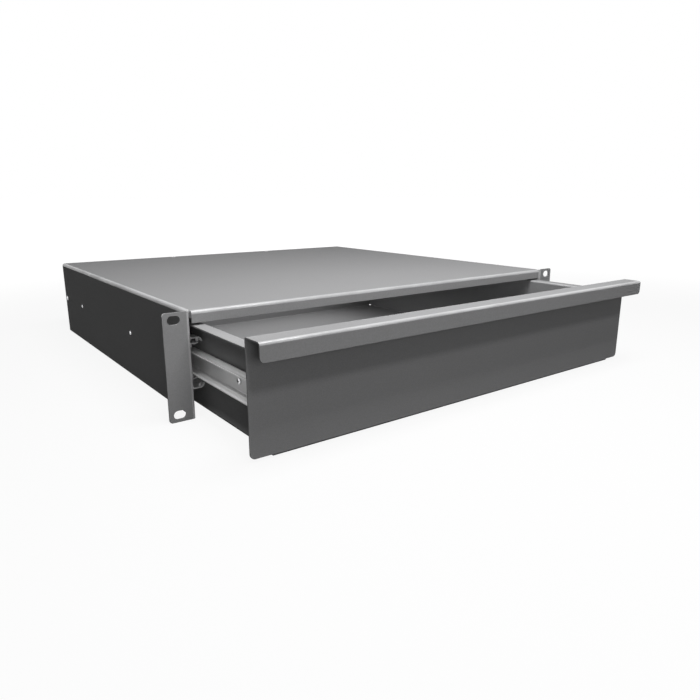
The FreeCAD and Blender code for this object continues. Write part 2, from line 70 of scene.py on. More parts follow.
PAN_CROWN = 0.4                  # the fall of a head's top at its rim, of its height
LOW_CROWN = 0.35
RIVET_CROWN = 0.8
SCREW_FLATNESS = 4.0             # a higher power keeps a head's top flat further out
RIVET_FLATNESS = 2.2
RECESS_SPAN = 1.26               # the cross recess, as shares of the head's radius
RECESS_WIDTH = 0.3
RECESS_CORE = 0.34
RECESS_DEPTH = 1.3               # as a share of the head's height, half of it in the head
THREAD_DEPTH = 1.1               # how steeply a thread falls away from its crest
POINT_CHAMFER = 0.3 * MM
STUB_RADIUS = 0.8                # the broken mandrel's, as a share of its hole's
STUB_LENGTH = 0.3                # its length and its middle's height, of the head's height
STUB_PLACE = 0.6
TAIL_START = 0.6                 # where a rivet's tail swells, as shares of its length
TAIL_LENGTH = 0.46
TAIL_SWELL = 0.28
SHANK_FIT = 0.97                 # the rest of the shank, as a share of its radius

PAD_HEIGHT = 0.15                # a buffer's raised pad, as a share of its length
PAD_INSET = 0.16                 # the pad's rim and the edges' rounding, of its width
BUFFER_ROUND = 0.05

CAMERA_PLACE = Vector((-0.39669, -0.44285, 0.13151))
CAMERA_HEADING = math.radians(36.997)
CAMERA_TILT = math.radians(-14.484)
LAMP_GAP = 3 * MM                # from the case's top to the light inside it
LAMP_SETBACK = 190 * MM          # from the front of the case to that light's middle
FLOOR_GAP = 0.1 * MM
FLOOR_HALF_SIZE = 20


# ------------------------------------------------------------------------------ settings
class RackDrawerFinish(bpy.types.PropertyGroup):
    """Colours and surface of the drawer's finishes."""

    paint_colour: bpy.props.FloatVectorProperty(
        name="Paint", description="Powder coat on the case and the drawer", subtype="COLOR",
        size=3, min=0, max=1, default=(0.25, 0.25, 0.253))
    paint_roughness: bpy.props.FloatProperty(
        name="Paint Roughness", description="Gloss of the powder coat", subtype="FACTOR",
        min=0, max=1, default=0.58)
    grain_size: bpy.props.FloatProperty(
        name="Coat Grain", description="Size of the powder coat's fine texture",
        subtype="DISTANCE", unit="LENGTH", min=0.0001, max=0.01, default=0.0009)
    grain_height: bpy.props.FloatProperty(
        name="Coat Relief", description="Height of the powder coat's fine texture",
        subtype="DISTANCE", unit="LENGTH", min=0, max=0.001, default=0.00005)
    # painted highlight and shade: how far the paint's colour is lightened on upward bends and cut
    # edges, and darkened on downward ones
    painted_light_tint: bpy.props.FloatProperty(
        name="Rubbed Tint", description="How much lighter the coat is on bends and cut edges",
        min=0, max=2, default=0.6)
    rubbed_gloss: bpy.props.FloatProperty(
        name="Rubbed Gloss", description="Polish of the coat on bends and cut edges",
        subtype="FACTOR", min=0, max=1, default=0.9)
    zinc_colour: bpy.props.FloatVectorProperty(
        name="Zinc", description="Zinc plate on the slides", subtype="COLOR",
        size=3, min=0, max=1, default=(0.70, 0.70, 0.70))
    screw_colour: bpy.props.FloatVectorProperty(
        name="Fasteners", description="Plate on the screws and rivets", subtype="COLOR",
        size=3, min=0, max=1, default=(0.64, 0.64, 0.65))
    ball_colour: bpy.props.FloatVectorProperty(
        name="Balls", description="Polished steel of the balls", subtype="COLOR",
        size=3, min=0, max=1, default=(0.80, 0.80, 0.81))
    buffer_colour: bpy.props.FloatVectorProperty(
        name="Buffers", description="Moulded plastic of the buffers", subtype="COLOR",
        size=3, min=0, max=1, default=(0.022, 0.022, 0.024))


class RackDrawerSizes(bpy.types.PropertyGroup):
    """Sizes of the details added to the construction."""

    edge_round: bpy.props.FloatProperty(
        name="Edge Round", description="Rounding of the painted sheet's cut edges",
        subtype="DISTANCE", unit="LENGTH", min=0, max=0.001, default=0.0002)
    slide_edge_round: bpy.props.FloatProperty(
        name="Slide Edge Round", description="Rounding of the slides' cut edges",
        subtype="DISTANCE", unit="LENGTH", min=0, max=0.001, default=0.00012)
    rivet_head_height: bpy.props.FloatProperty(
        name="Rivet Head", description="Height of a rivet's domed head",
        subtype="DISTANCE", unit="LENGTH", min=0.0002, max=0.003, default=0.001)
    mandrel_radius: bpy.props.FloatProperty(
        name="Mandrel Radius", description="Radius of the hole left by a rivet's mandrel",
        subtype="DISTANCE", unit="LENGTH", min=0.0002, max=0.002, default=0.00085)
    low_head_height: bpy.props.FloatProperty(
        name="Low Screw Head", description="Height of the heads inside the case-side slides",
        subtype="DISTANCE", unit="LENGTH", min=0.0002, max=0.003, default=0.0009)
    pan_head_height: bpy.props.FloatProperty(
        name="Pan Screw Head", description="Height of the heads on the drawer-side slides",
        subtype="DISTANCE", unit="LENGTH", min=0.0002, max=0.004, default=0.0018)
    shank_radius: bpy.props.FloatProperty(
        name="Screw Shank", description="Outside radius of the screws' threads",
        subtype="DISTANCE", unit="LENGTH", min=0.0005, max=0.005, default=0.002)
    thread_pitch: bpy.props.FloatProperty(
        name="Thread Pitch", description="Distance from one thread to the next",
        subtype="DISTANCE", unit="LENGTH", min=0.0002, max=0.002, default=0.0007)
    ball_radius: bpy.props.FloatProperty(
        name="Ball Radius", description="Radius of the slides' balls",
        subtype="DISTANCE", unit="LENGTH", min=0.001, max=0.005, default=0.0025)
    balls_per_row: bpy.props.IntProperty(
        name="Balls in a Row", description="Balls held by one strip of a cage",
        min=2, max=12, default=4)
    pocket_clearance: bpy.props.FloatProperty(
        name="Pocket Clearance", description="Gap round a ball in its cage",
        subtype="DISTANCE", unit="LENGTH", min=0, max=0.001, default=0.0001)


class RackDrawerStudio(bpy.types.PropertyGroup):
    """Camera and lights."""

    lens: bpy.props.FloatProperty(
        name="Lens", description="Camera's focal length", subtype="DISTANCE_CAMERA",
        unit="CAMERA", min=5, max=200, default=31.09)
    overhead_power: bpy.props.FloatProperty(
        name="Overhead Light", description="Power of the soft light above the drawer",
        unit="POWER", min=0, max=500, default=6.9)
    slide_power: bpy.props.FloatProperty(
        name="Slide Light", description="Power of the narrow light on the left-hand slide",
        unit="POWER", min=0, max=500, default=6)
    key_power: bpy.props.FloatProperty(
        name="Key Light", description="Power of the smaller light high in front",
        unit="POWER", min=0, max=500, default=3.7)
    front_power: bpy.props.FloatProperty(
        name="Front Light", description="Power of the soft light at the front left",
        unit="POWER", min=0, max=500, default=4.1)
    rear_power: bpy.props.FloatProperty(
        name="Rear Light", description="Power of the soft light behind, on the right",
        unit="POWER", min=0, max=500, default=9)
    inside_power: bpy.props.FloatProperty(
        name="Inside Light", description="Power of the soft light inside the case",
        unit="POWER", min=0, max=50, default=0.4)
    fill_strength: bpy.props.FloatProperty(
        name="Fill", description="Strength of the even light from all round", min=0, max=2,
        default=0.13)


# ------------------------------------------------------------------------------ materials
def new_material(name):
    """A node material's tree and its Principled shader."""
    material = bpy.data.materials.new(name)
    material.use_nodes = True
    tree = material.node_tree
    return tree, tree.nodes["Principled BSDF"]


def node(tree, kind, inputs=None, **settings):
    """A node with its properties set; inputs gives each socket a value or links it to a socket."""
    made = tree.nodes.new(kind)
    for key, value in settings.items():
        setattr(made, key, value)
    for socket, value in (inputs or {}).items():
        if isinstance(value, bpy.types.NodeSocket):
            tree.links.new(value, made.inputs[socket])
        else:
            made.inputs[socket].default_value = value
    return made


def maths(tree, operation, *values):
    """One step of arithmetic on numbers or sockets."""
    return node(tree, "ShaderNodeMath", dict(enumerate(values)), operation=operation).outputs[0]


def vector(tree, **axes):
    """A vector from numbers or sockets, 0 along the axes not given."""
    return node(tree, "ShaderNodeCombineXYZ", axes).outputs[0]


def scaled(tree, given, factor):
    """A vector or a colour times a number."""
    return node(tree, "ShaderNodeVectorMath", {0: given, "Scale": factor},
                operation="SCALE").outputs[0]


def group_sockets(tree, inputs, outputs):
    """Declares a node group's sockets as (name, type, default) and (name, type)."""
    for name, kind, default in inputs:
        socket = tree.interface.new_socket(name=name, in_out="INPUT", socket_type=kind)
        socket.default_value = default
    for name, kind in outputs:
        tree.interface.new_socket(name=name, in_out="OUTPUT", socket_type=kind)


def mottle_group():
    """Slow cloudy change of a colour and a roughness, with a fine speckle in the colour."""
    tree = bpy.data.node_groups.new("Mottle", "ShaderNodeTree")
    group_sockets(tree, [("Colour", "NodeSocketColor", (0.5, 0.5, 0.5, 1)),
                         ("Roughness", "NodeSocketFloat", 0.5),
                         ("Cloud Size", "NodeSocketFloat", 12.0),
                         ("Colour Change", "NodeSocketFloat", 0.06),
                         ("Roughness Change", "NodeSocketFloat", 0.08),
                         ("Specks per Metre", "NodeSocketFloat", 1000.0),
                         ("Speck Change", "NodeSocketFloat", 0.0)],
                  [("Colour", "NodeSocketColor"), ("Roughness", "NodeSocketFloat")])
    given = node(tree, "NodeGroupInput").outputs
    place = node(tree, "ShaderNodeTexCoord").outputs["Object"]
    cloud = node(tree, "ShaderNodeTexNoise", {
        "Vector": place, "Scale": given["Cloud Size"], "Detail": 3.0, "Roughness": 0.55})
    speck = node(tree, "ShaderNodeTexNoise", {
        "Vector": place, "Scale": given["Specks per Metre"], "Detail": 1.0})
    change = maths(tree, "SUBTRACT", cloud.outputs["Fac"], 0.5)
    tone = maths(tree, "MULTIPLY_ADD", change, given["Colour Change"], 1.0)
    tone = maths(tree, "MULTIPLY_ADD", maths(tree, "SUBTRACT", speck.outputs["Fac"], 0.5),
                 given["Speck Change"], tone)
    node(tree, "NodeGroupOutput", {
        "Colour": scaled(tree, given["Colour"], tone),
        "Roughness": maths(tree, "MULTIPLY_ADD", change, given["Roughness Change"],
                           given["Roughness"])})


def grain_group():
    """Fine raised grain, from the object's own coordinates; Stretch draws it out along Y."""
    tree = bpy.data.node_groups.new("Grain", "ShaderNodeTree")
    group_sockets(tree, [("Grains per Metre", "NodeSocketFloat", 1000.0),
                         ("Stretch", "NodeSocketFloat", 1.0),
                         ("Strength", "NodeSocketFloat", 0.2),
                         ("Height", "NodeSocketFloat", 0.00002)],
                  [("Normal", "NodeSocketVector")])
    given = node(tree, "NodeGroupInput").outputs
    place = node(tree, "ShaderNodeTexCoord").outputs["Object"]
    scale = vector(tree, X=1.0, Y=maths(tree, "DIVIDE", 1.0, given["Stretch"]), Z=1.0)
    drawn = node(tree, "ShaderNodeVectorMath", {0: place, 1: scale},
                 operation="MULTIPLY").outputs[0]
    grain = node(tree, "ShaderNodeTexNoise", {
        "Vector": drawn, "Scale": given["Grains per Metre"], "Detail": 2.0, "Roughness": 0.5})
    bump = node(tree, "ShaderNodeBump", {
        "Height": grain.outputs["Fac"], "Strength": given["Strength"],
        "Distance": given["Height"]})
    node(tree, "NodeGroupOutput", {"Normal": bump.outputs["Normal"]})


def painted_light_group():
    """Paints a highlight on faces marked 1 by lightening their colour, and polishes them with a
    coat; paints shade on faces marked -1 by darkening their colour.
    """
    tree = bpy.data.node_groups.new("Painted Light and Polish", "ShaderNodeTree")
    group_sockets(tree, [("Colour", "NodeSocketColor", (0.5, 0.5, 0.5, 1)),
                         ("Roughness", "NodeSocketFloat", 0.5), ("Tint", "NodeSocketFloat", 0.3),
                         ("Gloss", "NodeSocketFloat", 0.0)],
                  [("Colour", "NodeSocketColor"), ("Roughness", "NodeSocketFloat"),
                   ("Coat", "NodeSocketFloat")])
    given = node(tree, "NodeGroupInput").outputs
    mark = node(tree, "ShaderNodeAttribute", attribute_name="painted_light").outputs["Fac"]
    place = node(tree, "ShaderNodeTexCoord").outputs["Object"]
    patches = node(tree, "ShaderNodeTexNoise",
                   {"Vector": place, "Scale": 35.0, "Detail": 3.0}).outputs["Fac"]
    share = maths(tree, "MULTIPLY", mark, node(tree, "ShaderNodeMapRange", {
        "Value": patches, "From Min": 0.3, "From Max": 0.6, "To Min": 0.6}).outputs[0])
    # painted light: the colour made lighter as a highlight, or darker as shade
    painted_tone = maths(tree, "MULTIPLY_ADD", share, given["Tint"], 1.0)
    coat = maths(tree, "MAXIMUM", maths(tree, "MULTIPLY", share, given["Gloss"]), 0.0)
    smoother = maths(tree, "SUBTRACT", 1.0, maths(tree, "MULTIPLY", coat, COAT_POLISH))
    node(tree, "NodeGroupOutput", {
        "Colour": scaled(tree, given["Colour"], painted_tone), "Coat": coat,
        "Roughness": maths(tree, "MULTIPLY", given["Roughness"], smoother)})


def placed_group(tree, name, inputs):
    """The outputs of a shared group placed in a material."""
    return node(tree, "ShaderNodeGroup", inputs, node_tree=bpy.data.node_groups[name]).outputs


def finished(name, colour, roughness, cloud, grain, painted_light=None, **shader):
    """A material made of the shared groups; shader sets the other sockets."""
    tree, bsdf = new_material(name)
    surface = placed_group(tree, "Mottle", dict(
        cloud, Colour=(*colour, 1), Roughness=roughness))
    if painted_light:
        surface = placed_group(tree, "Painted Light and Polish", dict(
            painted_light, Colour=surface["Colour"], Roughness=surface["Roughness"]))
        if "Gloss" in painted_light:
            tree.links.new(surface["Coat"], bsdf.inputs["Coat Weight"])
    tree.links.new(surface["Colour"], bsdf.inputs["Base Color"])
    tree.links.new(surface["Roughness"], bsdf.inputs["Roughness"])
    relief = placed_group(tree, "Grain", grain)
    tree.links.new(relief["Normal"], bsdf.inputs["Normal"])
    for key, value in shader.items():
        bsdf.inputs[key.replace("_", " ")].default_value = value


class OBJECT_OT_rack_drawer_finishes(bpy.types.Operator):
    """Makes the paint, zinc plate, fastener, ball and plastic materials"""

    bl_idname = "object.rack_drawer_finishes"
    bl_label = "Finishes"

    def execute(self, context):
        look = context.scene.rack_drawer_finish
        mottle_group()
        grain_group()
        painted_light_group()
        grains = 1 / look.grain_size
        finished("painted_steel", look.paint_colour, look.paint_roughness,
                 {"Cloud Size": 9.0, "Colour Change": 0.07, "Roughness Change": 0.10,
                  "Specks per Metre": grains, "Speck Change": 0.22},
                 {"Grains per Metre": grains, "Strength": 0.6, "Height": look.grain_height},
                 # painted highlight on upward bends and cut edges, painted shade on downward ones,
                 # and a polish coat on the upward ones
                 {"Tint": look.painted_light_tint, "Gloss": look.rubbed_gloss},
                 Specular_IOR_Level=0.005, Coat_Roughness=0.25)
        finished("zinc_plate", look.zinc_colour, 0.5,
                 {"Cloud Size": 45.0, "Colour Change": 0.16, "Roughness Change": 0.16},
                 {"Grains per Metre": 900.0, "Stretch": 30.0, "Strength": 0.25,
                  "Height": 0.00001},
                 Metallic=0.25)
        finished("cage_strip", tuple(CAGE_SHADE * part for part in look.zinc_colour), 0.30,
                 {"Cloud Size": 60.0, "Colour Change": 0.10, "Roughness Change": 0.12},
                 {"Grains per Metre": 1200.0, "Stretch": 20.0, "Strength": 0.2,
                  "Height": 0.00001},
                 Metallic=1.0)
        finished("fastener_plate", look.screw_colour, 0.27,
                 {"Cloud Size": 200.0, "Colour Change": 0.12, "Roughness Change": 0.14},
                 {"Grains per Metre": 2500.0, "Strength": 0.15, "Height": 0.00001},
                 # painted shade in the screws' cross recesses and the rivets' mandrel holes
                 {"Tint": 0.92}, Metallic=1.0)
        finished("ball_steel", look.ball_colour, 0.09,
                 {"Cloud Size": 300.0, "Colour Change": 0.04, "Roughness Change": 0.04},
                 {"Grains per Metre": 3000.0, "Strength": 0.04, "Height": 0.000005},
                 Metallic=1.0)
        finished("buffer_plastic", look.buffer_colour, 0.55,
                 {"Cloud Size": 80.0, "Colour Change": 0.10, "Roughness Change": 0.10},
                 {"Grains per Metre": 1500.0, "Strength": 0.25, "Height": 0.00002})
        return {"FINISHED"}


# ------------------------------------------------------------------------------ mesh helpers
def new_object(name, data):
    """An object in the scene that shows a mesh, a light or a camera."""
    made = bpy.data.objects.new(name, data)
    bpy.context.scene.collection.objects.link(made)
    return made


def add_piece(name, mesh, material, body, slot, *nodes):
    """Puts a finished mesh in the scene, on its body, in place of CAD nodes."""
    piece = new_object(name, mesh)
    mesh.materials.clear()
    mesh.materials.append(bpy.data.materials[material])
    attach(piece, body)
    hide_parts(*nodes)


def evaluated_mesh(piece, name):
    """The piece's mesh with its modifiers worked out."""
    view = bpy.context.evaluated_depsgraph_get()
    mesh = bpy.data.meshes.new_from_object(piece.evaluated_get(view), depsgraph=view)
    mesh.name = name
    return mesh


def mark_painted_light(mesh):
    """Marks the narrow faces of outside bends and softened edges: 1 for a painted highlight and a
    polish coat where they face up, -1 for painted shade where they face down.
    """
    work = bmesh.new()
    work.from_mesh(mesh)
    mark = work.faces.layers.float.new("painted_light")
    for face in work.faces:
        width = 2 * face.calc_area() / face.calc_perimeter()
        turn = sum(edge.calc_face_angle_signed(0) * edge.calc_length() for edge in face.edges)
        if width < BEND_FACET and turn > 0:
            face[mark] = 1.0 if face.normal.z > UNDERSIDE else -1.0
    work.to_mesh(mesh)
    work.free()


def sheet_piece(node_name, material, body, slot, edge):
    """A CAD sheet rebuilt with welded corners, softened cut edges and smooth bends."""
    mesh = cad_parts[node_name].data.copy()
    work = bmesh.new()
    work.from_mesh(mesh)
    bmesh.ops.remove_doubles(work, verts=work.verts, dist=WELD)
    bmesh.ops.dissolve_degenerate(work, edges=work.edges, dist=WELD)
    bmesh.ops.dissolve_limit(work, angle_limit=FLAT, verts=work.verts, edges=work.edges)
    work.to_mesh(mesh)
    work.free()
    helper = new_object(node_name + "_work", mesh)
    bevel = helper.modifiers.new("cut_edges", "BEVEL")
    bevel.width = edge
    bevel.segments = 2
    bevel.limit_method = "ANGLE"
    bevel.angle_limit = SHEET_CREASE
    bevel.use_clamp_overlap = True
    softened = evaluated_mesh(helper, node_name + "_softened")
    # marks the bends and cut edges where a highlight or a shade is painted into the colour
    mark_painted_light(softened)
    softened.shade_smooth()
    softened.set_sharp_from_angle(angle=SHEET_CREASE)
    helper.modifiers.clear()
    helper.data = softened
    normals = helper.modifiers.new("flat_faces_lead", "WEIGHTED_NORMAL")
    normals.keep_sharp = True
    normals.weight = 100
    finished_mesh = evaluated_mesh(helper, node_name + "_finished")
    bpy.data.objects.remove(helper)
    bpy.data.meshes.remove(mesh)
    bpy.data.meshes.remove(softened)
    add_piece(node_name + "_sheet", finished_mesh, material, body, slot, node_name)


# ------------------------------------------------------------------------------ patterns
def solid_boxes(node_name):
    """Lowest and highest corner of each separate solid in a CAD node."""
    work = bmesh.new()
    work.from_mesh(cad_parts[node_name].data)
    bmesh.ops.remove_doubles(work, verts=work.verts, dist=WELD)
    boxes = []
    left = set(work.verts)
    while left:
        reached = {left.pop()}
        front = list(reached)
        while front:
            for edge in front.pop().link_edges:
                for vert in edge.verts:
                    if vert not in reached:
                        reached.add(vert)
                        front.append(vert)
        left -= reached
        boxes.append([Vector(pick(vert.co[axis] for vert in reached) for axis in range(3))
                      for pick in (min, max)])
    work.free()
    return sorted(boxes, key=lambda corners: corners[0][:])


def pattern_tree(name, inputs):
    """An empty Geometry Nodes tree; inputs lists (name, type, default) after the points."""
    tree = bpy.data.node_groups.new(name, "GeometryNodeTree")
    tree.interface.new_socket(name="Points", in_out="INPUT", socket_type="NodeSocketGeometry")
    group_sockets(tree, inputs, [("Mesh", "NodeSocketGeometry")])
    tree.interface.new_socket(name="Material", in_out="INPUT", socket_type="NodeSocketMaterial")
    return tree, node(tree, "NodeGroupInput").outputs


def moved(tree, mesh, height):
    """A mesh moved along Z."""
    return node(tree, "GeometryNodeTransform",
                {"Geometry": mesh, "Translation": vector(tree, Z=height)}).outputs[0]


def own_place(tree):
    """Each point's X, Y and Z."""
    position = node(tree, "GeometryNodeInputPosition").outputs[0]
    return node(tree, "ShaderNodeSeparateXYZ", {0: position}).outputs


def rod(tree, radius, depth, sides, centre=0.0):
    """A round bar along Z."""
    made = node(tree, "GeometryNodeMeshCylinder",
                {"Vertices": sides, "Fill Segments": 1, "Radius": radius, "Depth": depth})
    return moved(tree, made.outputs["Mesh"], centre)


def crowned_head(tree, radius, height, drop, flatness):
    """A head from Z 0 to its height, whose top falls by drop at the rim."""
    head = node(tree, "GeometryNodeMeshCylinder",
                {"Vertices": 48, "Fill Segments": 8, "Radius": radius, "Depth": height})
    place = own_place(tree)
    flat = vector(tree, X=place["X"], Y=place["Y"])
    out = node(tree, "ShaderNodeVectorMath", {0: flat}, operation="LENGTH").outputs["Value"]
    share = maths(tree, "POWER", maths(tree, "DIVIDE", out, radius), flatness)
    fall = maths(tree, "MULTIPLY", share, maths(tree, "MULTIPLY", drop, -1.0))
    shaped = node(tree, "GeometryNodeSetPosition",
                  {"Geometry": head.outputs["Mesh"], "Selection": head.outputs["Top"],
                   "Offset": vector(tree, Z=fall)}).outputs[0]
    return moved(tree, shaped, maths(tree, "MULTIPLY", height, 0.5))


def shaped_shank(tree, bar, place, scale, length):
    """A bar whose points keep their height and are scaled across it, hung below Z 0."""
    across = vector(tree, X=maths(tree, "MULTIPLY", place["X"], scale),
                    Y=maths(tree, "MULTIPLY", place["Y"], scale), Z=place["Z"])
    shaped = node(tree, "GeometryNodeSetPosition",
                  {"Geometry": bar.outputs["Mesh"], "Position": across}).outputs[0]
    return moved(tree, shaped, maths(tree, "MULTIPLY", length, -0.5))


def cut(tree, mesh, *cutters):
    """A mesh with others cut out of it; the cut walls are marked for painted shade."""
    made = node(tree, "GeometryNodeMeshBoolean", {"Mesh 1": mesh}, operation="DIFFERENCE",
                solver="EXACT")
    for cutter in cutters:
        # the cutters' faces carry the mark for painted shade onto the walls they leave
        shade_painted = node(tree, "GeometryNodeStoreNamedAttribute",
                      {"Geometry": cutter, "Name": "painted_light", "Value": -1.0}, domain="FACE")
        tree.links.new(shade_painted.outputs[0], made.inputs["Mesh 2"])
    return made.outputs["Mesh"]


def joined(tree, *meshes):
    """Several meshes as one."""
    made = node(tree, "GeometryNodeJoinGeometry")
    for mesh in meshes:
        tree.links.new(mesh, made.inputs[0])
    return made.outputs[0]


def placed(tree, sockets, shape):
    """The shape on every point, its Z turned to the point's direction; ends the tree."""
    direction = node(tree, "GeometryNodeInputNamedAttribute", {"Name": "direction"},
                     data_type="FLOAT_VECTOR").outputs["Attribute"]
    turn = node(tree, "FunctionNodeAlignRotationToVector", {"Vector": direction},
                axis="Z").outputs[0]
    copies = node(tree, "GeometryNodeInstanceOnPoints",
                  {"Points": sockets["Points"], "Instance": shape, "Rotation": turn}).outputs[0]
    finish_tree(tree, sockets, copies)


def finish_tree(tree, sockets, copies, crease=PATTERN_CREASE):
    """Realize Instances and Set Material, with edges sharper than crease kept."""
    real = node(tree, "GeometryNodeRealizeInstances", {"Geometry": copies}).outputs[0]
    angle = node(tree, "GeometryNodeInputMeshEdgeAngle").outputs["Unsigned Angle"]
    soft = node(tree, "FunctionNodeCompare", {"A": angle, "B": crease},
                operation="LESS_THAN").outputs[0]
    edges = node(tree, "GeometryNodeSetShadeSmooth", {"Geometry": real, "Shade Smooth": soft},
                 domain="EDGE").outputs[0]
    faces = node(tree, "GeometryNodeSetShadeSmooth", {"Geometry": edges}).outputs[0]
    painted = node(tree, "GeometryNodeSetMaterial",
                   {"Geometry": faces, "Material": sockets["Material"]}).outputs[0]
    node(tree, "NodeGroupOutput", {"Mesh": painted})


def screw_tree():
    """A cross-recess screw: crowned head, threaded shank with a chamfered end."""
    tree, sockets = pattern_tree("Recessed Screw", [
        ("Head Radius", "NodeSocketFloat", 0.0035), ("Head Height", "NodeSocketFloat", 0.001),
        ("Head Crown", "NodeSocketFloat", 0.0004), ("Shank Radius", "NodeSocketFloat", 0.002),
        ("Shank Length", "NodeSocketFloat", 0.003), ("Thread Pitch", "NodeSocketFloat", 0.0007)])
    head_radius, height = sockets["Head Radius"], sockets["Head Height"]
    head = crowned_head(tree, head_radius, height, sockets["Head Crown"], SCREW_FLATNESS)
    span = maths(tree, "MULTIPLY", head_radius, RECESS_SPAN)
    width = maths(tree, "MULTIPLY", head_radius, RECESS_WIDTH)
    depth = maths(tree, "MULTIPLY", height, RECESS_DEPTH)
    arms = []
    for along, across in ((span, width), (width, span)):
        size = vector(tree, X=along, Y=across, Z=depth)
        arm = node(tree, "GeometryNodeMeshCube", {"Size": size}).outputs["Mesh"]
        arms.append(moved(tree, arm, height))
    core = rod(tree, maths(tree, "MULTIPLY", head_radius, RECESS_CORE), depth, 16, height)
    head = cut(tree, head, *arms, core)

    radius, length = sockets["Shank Radius"], sockets["Shank Length"]
    bar = node(tree, "GeometryNodeMeshCylinder",
               {"Vertices": 24, "Side Segments": 36, "Radius": radius, "Depth": length})
    place = own_place(tree)
    turn = maths(tree, "DIVIDE", maths(tree, "ARCTAN2", place["Y"], place["X"]), 2 * math.pi)
    wave = maths(tree, "PINGPONG",
                 maths(tree, "SUBTRACT", maths(tree, "DIVIDE", place["Z"],
                                               sockets["Thread Pitch"]), turn), 0.5)
    groove = maths(tree, "MULTIPLY", maths(tree, "MULTIPLY", wave, THREAD_DEPTH),
                   sockets["Thread Pitch"])
    to_end = maths(tree, "ADD", place["Z"], maths(tree, "MULTIPLY", length, 0.5))
    chamfer = maths(tree, "MAXIMUM", maths(tree, "SUBTRACT", POINT_CHAMFER, to_end), 0.0)
    inset = maths(tree, "MAXIMUM", groove, chamfer)
    scale = maths(tree, "SUBTRACT", 1.0, maths(tree, "DIVIDE", inset, radius))
    shank = shaped_shank(tree, bar, place, scale, length)
    placed(tree, sockets, joined(tree, head, shank))
    return tree


def rivet_tree():
    """A blind rivet: domed head with its mandrel hole, and the swollen tail behind the sheet."""
    tree, sockets = pattern_tree("Blind Rivet", [
        ("Head Radius", "NodeSocketFloat", 0.003), ("Head Height", "NodeSocketFloat", 0.001),
        ("Mandrel Radius", "NodeSocketFloat", 0.0008),
        ("Shank Radius", "NodeSocketFloat", 0.0016), ("Shank Length", "NodeSocketFloat", 0.005)])
    height, mandrel = sockets["Head Height"], sockets["Mandrel Radius"]
    dome = crowned_head(tree, sockets["Head Radius"], height,
                        maths(tree, "MULTIPLY", height, RIVET_CROWN), RIVET_FLATNESS)
    hole = rod(tree, mandrel, height, 24, height)
    stub = rod(tree, maths(tree, "MULTIPLY", mandrel, STUB_RADIUS),
               maths(tree, "MULTIPLY", height, STUB_LENGTH), 24,
               maths(tree, "MULTIPLY", height, STUB_PLACE))
    head = cut(tree, dome, hole)

    radius, length = sockets["Shank Radius"], sockets["Shank Length"]
    bar = node(tree, "GeometryNodeMeshCylinder",
               {"Vertices": 32, "Side Segments": 24, "Radius": radius, "Depth": length})
    place = own_place(tree)
    along = maths(tree, "SUBTRACT", 0.5, maths(tree, "DIVIDE", place["Z"], length))
    swell = maths(tree, "MAXIMUM", maths(tree, "SINE", maths(
        tree, "MULTIPLY", maths(tree, "SUBTRACT", along, TAIL_START),
        math.pi / TAIL_LENGTH)), 0.0)
    tail = maths(tree, "GREATER_THAN", along, TAIL_START)
    scale = maths(tree, "MULTIPLY_ADD", maths(tree, "MULTIPLY", swell, tail), TAIL_SWELL,
                  SHANK_FIT)
    shank = shaped_shank(tree, bar, place, scale, length)
    placed(tree, sockets, joined(tree, head, stub, shank))
    return tree


def row_of(tree, sockets, shape):
    """A shape repeated along Y, with the row's middle on each point."""
    count, pitch = sockets["Count"], sockets["Pitch"]
    back = maths(tree, "MULTIPLY", maths(tree, "SUBTRACT", count, 1.0),
                 maths(tree, "MULTIPLY", pitch, -0.5))
    line = node(tree, "GeometryNodeMeshLine",
                {"Count": count, "Start Location": vector(tree, Y=back),
                 "Offset": vector(tree, Y=pitch)}).outputs[0]
    row = node(tree, "GeometryNodeInstanceOnPoints",
               {"Points": line, "Instance": shape}).outputs[0]
    rows = node(tree, "GeometryNodeInstanceOnPoints",
                {"Points": sockets["Points"], "Instance": row}).outputs[0]
    return node(tree, "GeometryNodeRealizeInstances", {"Geometry": rows}).outputs[0]


def ball_tree():
    """Rows of balls."""
    tree, sockets = pattern_tree("Ball Rows", [
        ("Ball Radius", "NodeSocketFloat", 0.0025), ("Count", "NodeSocketInt", 4),
        ("Pitch", "NodeSocketFloat", 0.04)])
    sphere = node(tree, "GeometryNodeMeshUVSphere",
                  {"Segments": 40, "Rings": 20, "Radius": sockets["Ball Radius"]}).outputs["Mesh"]
    finish_tree(tree, sockets, row_of(tree, sockets, sphere), crease=1.0)
    return tree


def cage_tree():
    """Ball cages: flat strips with a round pocket and a pressed rim for each ball."""
    tree, sockets = pattern_tree("Cage Strips", [
        ("Pocket Radius", "NodeSocketFloat", 0.0026), ("Count", "NodeSocketInt", 4),
        ("Pitch", "NodeSocketFloat", 0.04), ("Width", "NodeSocketFloat", 0.006),
        ("Length", "NodeSocketFloat", 0.15), ("Thickness", "NodeSocketFloat", 0.0005),
        ("Shift", "NodeSocketFloat", 0.0)])
    size = vector(tree, X=sockets["Width"], Y=sockets["Length"], Z=sockets["Thickness"])
    strip = node(tree, "GeometryNodeMeshCube", {"Size": size}).outputs["Mesh"]
    inward = node(tree, "GeometryNodeInputNamedAttribute", {"Name": "direction"},
                  data_type="FLOAT_VECTOR").outputs["Attribute"]
    centres = node(tree, "GeometryNodeSetPosition",
                   {"Geometry": sockets["Points"],
                    "Offset": scaled(tree, inward, sockets["Shift"])}).outputs[0]
    strips = node(tree, "GeometryNodeInstanceOnPoints",
                  {"Points": centres, "Instance": strip}).outputs[0]
    strips = node(tree, "GeometryNodeRealizeInstances", {"Geometry": strips}).outputs[0]
    pocket = rod(tree, sockets["Pocket Radius"],
                 maths(tree, "MULTIPLY", sockets["Thickness"], 3.0), 36)
    windows = row_of(tree, sockets, pocket)
    finish_tree(tree, sockets, cut(tree, strips, windows))
    return tree


